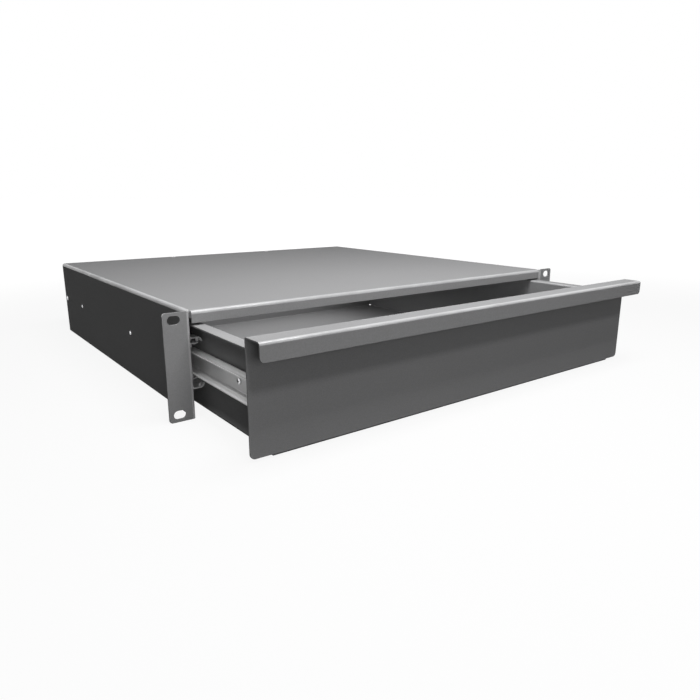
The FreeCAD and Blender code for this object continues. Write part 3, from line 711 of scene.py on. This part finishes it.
def pattern_piece(name, tree, places, values, material, body, slot, *nodes):
    """Runs a tree on points that carry a direction and keeps the result as one plain mesh."""
    points = bpy.data.meshes.new(name + "_points")
    points.from_pydata([place for place, _ in places], [], [])
    heading = points.attributes.new("direction", "FLOAT_VECTOR", "POINT")
    for i, (_, direction) in enumerate(places):
        heading.data[i].vector = direction
    helper = new_object(name + "_work", points)
    pattern = helper.modifiers.new("pattern", "NODES")
    pattern.node_group = tree
    values = dict(values, Material=bpy.data.materials[material])
    for item in tree.interface.items_tree:
        if item.in_out == "INPUT" and item.name in values:
            pattern[item.identifier] = values[item.name]
    mesh = evaluated_mesh(helper, name)
    bpy.data.objects.remove(helper)
    bpy.data.meshes.remove(points)
    if len(mesh.polygons) == 0:
        raise RuntimeError(name + " came out empty")
    add_piece(name, mesh, material, body, slot, *nodes)


# ------------------------------------------------------------------------------ sheet metal
class OBJECT_OT_rack_drawer_case(bpy.types.Operator):
    """Finishes the folded case and its rear panel"""

    bl_idname = "object.rack_drawer_case"
    bl_label = "Case"

    def execute(self, context):
        edge = context.scene.rack_drawer_sizes.edge_round
        sheet_piece("case_shell", "painted_steel", "case", "case_paint", edge)
        sheet_piece("rear_panel", "painted_steel", "case", "case_paint", edge)
        return {"FINISHED"}


class OBJECT_OT_rack_drawer_tray(bpy.types.Operator):
    """Finishes the drawer's tray and its front with the pull"""

    bl_idname = "object.rack_drawer_tray"
    bl_label = "Drawer"

    def execute(self, context):
        edge = context.scene.rack_drawer_sizes.edge_round
        sheet_piece("drawer_tray", "painted_steel", "drawer", "drawer_paint", edge)
        sheet_piece("front_panel", "painted_steel", "drawer", "drawer_paint", edge)
        return {"FINISHED"}


class OBJECT_OT_rack_drawer_slides(bpy.types.Operator):
    """Finishes the six members of the telescopic slides"""

    bl_idname = "object.rack_drawer_slides"
    bl_label = "Slides"

    def execute(self, context):
        edge = context.scene.rack_drawer_sizes.slide_edge_round
        for side in ("left", "right"):
            sheet_piece("slide_outer_" + side, "zinc_plate", "case", "zinc_steel", edge)
            sheet_piece("slide_middle_" + side, "zinc_plate", "slide_middles", "zinc_steel", edge)
            sheet_piece("slide_inner_" + side, "zinc_plate", "drawer", "zinc_steel", edge)
        return {"FINISHED"}


# ------------------------------------------------------------------------------ fasteners, balls
class OBJECT_OT_rack_drawer_screws(bpy.types.Operator):
    """Makes the cross-recess screws that hold the slides"""

    bl_idname = "object.rack_drawer_screws"
    bl_label = "Screws"

    def execute(self, context):
        sizes = context.scene.rack_drawer_sizes
        tree = screw_tree()
        self.set_of_screws(tree, sizes, "slide_outer_screws", "case", 1,
                           sizes.low_head_height, LOW_CROWN)
        self.set_of_screws(tree, sizes, "slide_inner_screws", "drawer", -1,
                           sizes.pan_head_height, PAN_CROWN)
        return {"FINISHED"}

    def set_of_screws(self, tree, sizes, node_name, body, inward, height, crown):
        """One node's like screws; inward is 1 for heads that face the middle, -1 outside."""
        places = []
        for low, high in solid_boxes(node_name):
            centre = (low + high) / 2
            side = inward if centre.x < 0 else -inward
            top = high.x if side > 0 else low.x
            places.append(((top - side * height, centre.y, centre.z), (side, 0, 0)))
            length = high.x - low.x - height
            radius = (high.y - low.y) / 2
        values = {"Head Radius": radius, "Head Height": height, "Head Crown": crown * height,
                  "Shank Radius": sizes.shank_radius, "Shank Length": length,
                  "Thread Pitch": sizes.thread_pitch}
        pattern_piece(node_name + "_finished", tree, places, values, "fastener_plate", body,
                      "fastener_steel", node_name)


class OBJECT_OT_rack_drawer_rivets(bpy.types.Operator):
    """Makes the blind rivets that hold the rear panel"""

    bl_idname = "object.rack_drawer_rivets"
    bl_label = "Rivets"

    def execute(self, context):
        sizes = context.scene.rack_drawer_sizes
        height = sizes.rivet_head_height
        half_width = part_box("rear_panel_rivets")[1][0]
        places = []
        for low, high in solid_boxes("rear_panel_rivets"):
            centre = (low + high) / 2
            radius = (high.y - low.y) / 2
            if high.x > half_width - WELD or low.x < -half_width + WELD:
                side = math.copysign(1, centre.x)
                place = (side * (half_width - height), centre.y, centre.z)
                places.append((place, (side, 0, 0)))
                length = high.x - low.x - height
            else:
                places.append(((centre.x, centre.y, high.z - height), (0, 0, 1)))
        values = {"Head Radius": radius, "Head Height": height,
                  "Mandrel Radius": sizes.mandrel_radius, "Shank Length": length}
        pattern_piece("rear_panel_rivets_finished", rivet_tree(), places, values,
                      "fastener_plate", "case", "fastener_steel", "rear_panel_rivets")
        return {"FINISHED"}


class OBJECT_OT_rack_drawer_balls(bpy.types.Operator):
    """Makes the rows of balls and the cages that space them"""

    bl_idname = "object.rack_drawer_balls"
    bl_label = "Balls and Cages"

    def execute(self, context):
        sizes = context.scene.rack_drawer_sizes
        balls, cages = ball_tree(), cage_tree()
        for stage in ("outer", "inner"):
            self.stage_of_balls(sizes, stage, balls, cages)
        return {"FINISHED"}

    def stage_of_balls(self, sizes, stage, balls, cages):
        """The balls and cages between two slide members, on both sides of the rack."""
        radius, count = sizes.ball_radius, sizes.balls_per_row
        low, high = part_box("balls_" + stage)
        pitch = (high[1] - low[1] - 2 * radius) / (count - 1)
        middle = (low[1] + high[1]) / 2
        rows = [((x, middle, z), (math.copysign(1, -x), 0, 0))
                for x in (low[0] + radius, high[0] - radius)
                for z in (low[2] + radius, high[2] - radius)]
        body = stage + "_ball_cages"
        along = {"Count": count, "Pitch": pitch}
        pattern_piece("balls_%s_polished" % stage, balls, rows, dict(along, **{
            "Ball Radius": radius}), "ball_steel", body, "ball_steel", "balls_" + stage)
        names = ["ball_cage_%s_%s" % (stage, side) for side in ("left", "right")]
        cage_low, cage_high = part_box(names[0])
        thickness = cage_high[2] - (high[2] - radius)
        values = dict(along, **{
            "Pocket Radius": radius + sizes.pocket_clearance,
            "Width": cage_high[0] - cage_low[0], "Length": cage_high[1] - cage_low[1],
            "Thickness": 2 * thickness,
            "Shift": (cage_low[0] + cage_high[0]) / 2 - (low[0] + radius)})
        pattern_piece("ball_cages_%s_pressed" % stage, cages, rows, values, "cage_strip", body,
                      "cage_steel", *names)


class OBJECT_OT_rack_drawer_buffers(bpy.types.Operator):
    """Makes the moulded buffers at the slides' rear ends"""

    bl_idname = "object.rack_drawer_buffers"
    bl_label = "Buffers"

    def execute(self, context):
        for node_name, body in (("slide_outer_buffers", "case"),
                                ("slide_middle_buffers", "slide_middles")):
            mesh = bpy.data.meshes.new(node_name + "_moulded")
            work = bmesh.new()
            for low, high in solid_boxes(node_name):
                self.moulded_block(work, low, high)
            work.to_mesh(mesh)
            work.free()
            mesh.shade_smooth()
            mesh.set_sharp_from_angle(angle=MOULD_CREASE)
            add_piece(node_name + "_moulded", mesh, "buffer_plastic", body, "buffer_plastic",
                      node_name)
        return {"FINISHED"}

    def moulded_block(self, work, low, high):
        """A block with rounded edges and a raised pad on the face that is struck."""
        size = high - low
        block = bmesh.ops.create_cube(work, size=1)["verts"]
        pad_height = PAD_HEIGHT * size.y
        bmesh.ops.scale(work, verts=block, vec=(size.x, size.y - pad_height, size.z))
        middle = (low + high) / 2 + Vector((0, pad_height / 2, 0))
        bmesh.ops.translate(work, verts=block, vec=middle)
        faces = {face for vert in block for face in vert.link_faces}
        struck = min(faces, key=lambda face: face.calc_center_median().y)
        bmesh.ops.inset_individual(work, faces=[struck], thickness=PAD_INSET * size.x)
        bmesh.ops.translate(work, verts=struck.verts, vec=(0, -pad_height, 0))
        edges = {edge for face in faces | {struck} for edge in face.edges}
        bmesh.ops.bevel(work, geom=list(edges), offset=BUFFER_ROUND * size.x, segments=2,
                        affect="EDGES", profile=0.5)


# ------------------------------------------------------------------------------ studio
def aim(thing, place, target):
    """Places a camera or a light and turns it towards a target."""
    thing.location = place
    thing.rotation_euler = (Vector(target) - Vector(place)).to_track_quat("-Z", "Y").to_euler()


def lamp(name, kind, place, target, power, **settings):
    """A light aimed at a target, with its kind's own settings."""
    data = bpy.data.lights.new(name, kind)
    data.energy = power
    for key, value in settings.items():
        setattr(data, key, value)
    light = new_object(name, data)
    aim(light, place, target)
    return light


def soft_lamp(name, place, target, width, depth, power, spread=math.pi):
    """A rectangular soft light."""
    return lamp(name, "AREA", place, target, power, shape="RECTANGLE", size=width, size_y=depth,
                spread=spread)


def seen_directly(tree):
    """1 for camera, glossy and transmission rays, 0 for the rays that light the object."""
    path = node(tree, "ShaderNodeLightPath").outputs
    seen = maths(tree, "MAXIMUM", path["Is Camera Ray"], path["Is Glossy Ray"])
    return maths(tree, "MAXIMUM", seen, path["Is Transmission Ray"])


def set_camera(scene, studio):
    """The camera stands to the front left, a little above the drawer."""
    data = bpy.data.cameras.new("studio_camera")
    data.lens = studio.lens
    data.sensor_width = 36
    data.clip_start = 0.01
    data.clip_end = 50
    camera = new_object("studio_camera", data)
    forward = Vector((math.sin(CAMERA_HEADING) * math.cos(CAMERA_TILT),
                      math.cos(CAMERA_HEADING) * math.cos(CAMERA_TILT), math.sin(CAMERA_TILT)))
    aim(camera, CAMERA_PLACE, CAMERA_PLACE + forward)
    scene.camera = camera


def set_lights(studio):
    """Soft lights above, in front, behind and inside the case, and a spot on the left slide."""
    soft_lamp("overhead", (-0.03, -0.2, 0.67), (-0.03, -0.1, 0), 0.5, 0.32,
              studio.overhead_power)
    soft_lamp("key", (-0.26, -0.92, 1.12), (0, -0.1, 0), 0.16, 0.16, studio.key_power)
    soft_lamp("front", (-0.5, -1.4, 0.3), (0, -0.1, 0), 0.8, 0.5, studio.front_power)
    rear = soft_lamp("rear", (0.8, 1.6, 0.3), (0, 0.2, 0), 0.9, 0.5, studio.rear_power)
    rear.visible_glossy = False
    lamp("slide", "SPOT", (-0.42, -0.108, 0.564), (-0.219, -0.055, 0), studio.slide_power,
         spot_size=math.radians(13), spot_blend=0.9, shadow_soft_size=0.03)
    low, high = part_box("case_shell")
    middle = low[1] + LAMP_SETBACK
    inside = soft_lamp("inside", (-0.03, middle, high[2] - LAMP_GAP), (-0.03, middle, 0),
                       0.32, 0.34, studio.inside_power, spread=math.radians(145))
    inside.visible_camera = False
    inside.visible_glossy = False


def set_world(scene, studio):
    """White where it is seen or mirrored, and an even fill elsewhere."""
    world = bpy.data.worlds.new("studio_white")
    scene.world = world
    world.use_nodes = True
    tree = world.node_tree
    background = tree.nodes["Background"]
    background.inputs["Color"].default_value = (1, 1, 1, 1)
    strength = node(tree, "ShaderNodeMapRange", {
        "Value": seen_directly(tree), "To Min": studio.fill_strength, "To Max": 1.0})
    tree.links.new(strength.outputs[0], background.inputs["Strength"])


def set_floor():
    """A pale floor just under the object, which keeps the object's shadow."""
    mesh = bpy.data.meshes.new("studio_floor")
    work = bmesh.new()
    bmesh.ops.create_grid(work, x_segments=1, y_segments=1, size=FLOOR_HALF_SIZE)
    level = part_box("case_shell")[0][2] - FLOOR_GAP
    bmesh.ops.translate(work, verts=work.verts, vec=(0, 0, level))
    work.to_mesh(mesh)
    work.free()
    floor = new_object("studio_floor", mesh)
    tree, bsdf = new_material("studio_floor")
    for socket, value in (("Base Color", (0.06, 0.06, 0.06, 1)), ("Roughness", 1.0),
                          ("Specular IOR Level", 0.0), ("Emission Color", (1, 1, 1, 1))):
        bsdf.inputs[socket].default_value = value
    place = node(tree, "ShaderNodeTexCoord").outputs["Object"]
    distance = node(tree, "ShaderNodeVectorMath", {0: place}, operation="LENGTH")
    whiteness = node(tree, "ShaderNodeMapRange", {
        "Value": distance.outputs["Value"], "From Min": 0.5, "From Max": 1.2,
        "To Min": 0.90, "To Max": 1.0}, interpolation_type="SMOOTHSTEP")
    glow = maths(tree, "MULTIPLY", seen_directly(tree), whiteness.outputs[0])
    tree.links.new(glow, bsdf.inputs["Emission Strength"])
    mesh.materials.append(bpy.data.materials["studio_floor"])


class OBJECT_OT_rack_drawer_studio(bpy.types.Operator):
    """Sets the camera, the lights, the pale floor and the white background"""

    bl_idname = "object.rack_drawer_studio"
    bl_label = "Studio"

    def execute(self, context):
        scene = context.scene
        studio = scene.rack_drawer_studio
        scene.view_settings.view_transform = "Standard"
        set_camera(scene, studio)
        set_lights(studio)
        set_world(scene, studio)
        set_floor()
        return {"FINISHED"}


# ------------------------------------------------------------------------------ add-on
STEPS = (
    OBJECT_OT_rack_drawer_finishes,
    OBJECT_OT_rack_drawer_studio,
    OBJECT_OT_rack_drawer_case,
    OBJECT_OT_rack_drawer_tray,
    OBJECT_OT_rack_drawer_slides,
    OBJECT_OT_rack_drawer_screws,
    OBJECT_OT_rack_drawer_rivets,
    OBJECT_OT_rack_drawer_balls,
    OBJECT_OT_rack_drawer_buffers,
)


class VIEW3D_PT_rack_drawer(bpy.types.Panel):
    """Lists the steps that dress the drawer"""

    bl_idname = "VIEW3D_PT_rack_drawer"
    bl_label = "Rack Drawer"
    bl_space_type = "VIEW_3D"
    bl_region_type = "UI"
    bl_category = "Rack Drawer"

    def draw(self, context):
        layout = self.layout
        for group in ("rack_drawer_finish", "rack_drawer_sizes", "rack_drawer_studio"):
            settings = getattr(context.scene, group)
            box = layout.box()
            for key in settings.__annotations__:
                box.prop(settings, key)
        for step in STEPS:
            layout.operator(step.bl_idname)


SETTINGS = (
    ("rack_drawer_finish", RackDrawerFinish),
    ("rack_drawer_sizes", RackDrawerSizes),
    ("rack_drawer_studio", RackDrawerStudio),
)


def register():
    for name, group in SETTINGS:
        bpy.utils.register_class(group)
        setattr(bpy.types.Scene, name, bpy.props.PointerProperty(type=group))
    for step in STEPS:
        bpy.utils.register_class(step)
    bpy.utils.register_class(VIEW3D_PT_rack_drawer)


def unregister():
    bpy.utils.unregister_class(VIEW3D_PT_rack_drawer)
    for step in reversed(STEPS):
        bpy.utils.unregister_class(step)
    for name, group in reversed(SETTINGS):
        delattr(bpy.types.Scene, name)
        bpy.utils.unregister_class(group)


def main():
    register()
    for step in STEPS:
        area, action = step.bl_idname.split(".")
        getattr(getattr(bpy.ops, area), action)()


if __name__ == "__main__":
    main()
